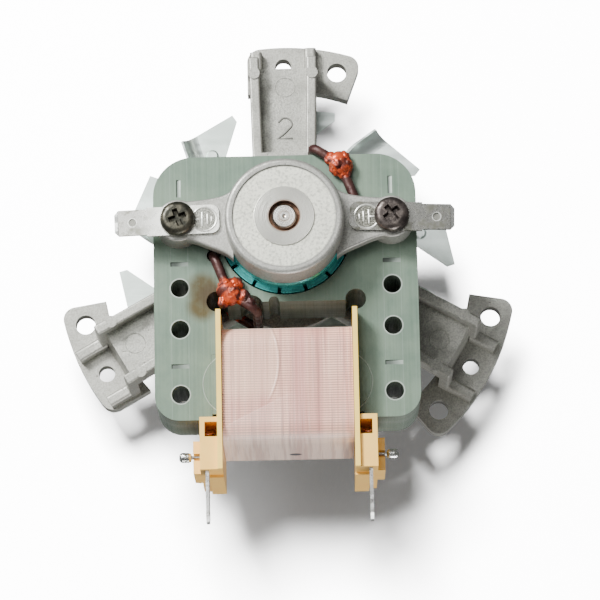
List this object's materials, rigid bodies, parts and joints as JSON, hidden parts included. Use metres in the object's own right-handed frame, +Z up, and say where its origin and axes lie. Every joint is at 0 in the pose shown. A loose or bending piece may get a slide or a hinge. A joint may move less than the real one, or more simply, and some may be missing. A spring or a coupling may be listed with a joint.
{
  "type": "oven fan motor",
  "caption": "Open shaded-pole motor for an oven's fan: square laminated stator with a taped coil, cast bracket with arms and feet, bearing bridge, cooling fan and a long output shaft.",
  "frame": {"origin": "centre of the mounting face, the underside of the feet, on the shaft line", "axes": "+Z up the shaft to the rear bearing bridge, +Y to the single upper foot, coil and terminals towards -Y"},
  "size_m": [0.1152, 0.1316, 0.0849],
  "materials": {
    "cast_bracket": "die cast, slightly rough, light warm grey",
    "cast_bridge": "die cast with a turned bright face",
    "stator_steel": "varnished electrical steel, grey green, satin",
    "core_steel": "varnished electrical steel, grey green, satin",
    "bobbin_plastic": "cream nylon, satin",
    "winding_copper": "enamelled copper wire",
    "tape": "pale pink woven tape, semi gloss",
    "tinned_tabs": "tinned, bright",
    "solder": "bright solder",
    "ring_copper": "oxidised copper wire with a red brazed joint",
    "bearing_bronze": "oil filled sintered bronze",
    "felt": "oiled felt",
    "retainer_steel": "spring steel",
    "earth_tabs": "tinned, bright",
    "dark_screws": "black oxide, slightly shiny",
    "shaft_steel": "ground steel",
    "rotor_lacquer": "blue green lacquer, glossy",
    "cage_aluminium": "cast",
    "washer_fibre": "hard fibre",
    "fan_sheet": "rolled sheet, bright",
    "bush_steel": "turned"
  },
  "bodies": {
    "frame": {"mounting_bracket": "cast_bracket", "stator_stack": "stator_steel", "coil_core": "core_steel", "bobbin": "bobbin_plastic", "coil_winding": "winding_copper", "tape_wrap": "tape", "terminal_left": "tinned_tabs", "terminal_right": "tinned_tabs", "solder_joint_left": "solder", "solder_joint_right": "solder", "shading_ring_lower": "ring_copper", "shading_ring_upper": "ring_copper", "rear_bridge": "cast_bridge", "rear_bearing": "bearing_bronze", "rear_felt_ring": "felt", "rear_retainer": "retainer_steel", "front_bearing": "bearing_bronze", "front_felt_ring": "felt", "front_retainer": "retainer_steel", "earth_tab_left": "earth_tabs", "earth_tab_right": "earth_tabs", "bridge_screw_left": "dark_screws", "bridge_screw_right": "dark_screws"},
    "rotor": {"shaft": "shaft_steel", "rotor_stack": "rotor_lacquer", "rotor_cage": "cage_aluminium", "rear_spacer": "retainer_steel", "front_spacer": "retainer_steel", "rear_thrust_washer": "washer_fibre", "front_thrust_washer": "washer_fibre", "cooling_fan": "fan_sheet", "fan_bush": "bush_steel", "circlip": "retainer_steel"}
  },
  "joints": [
    {"name": "rotor_spin", "type": "hinge", "parent": "frame", "child": "rotor", "pos_m": [0, 0, 0.0355], "axis": [0, 0, 1], "continuous": true}
  ]
}
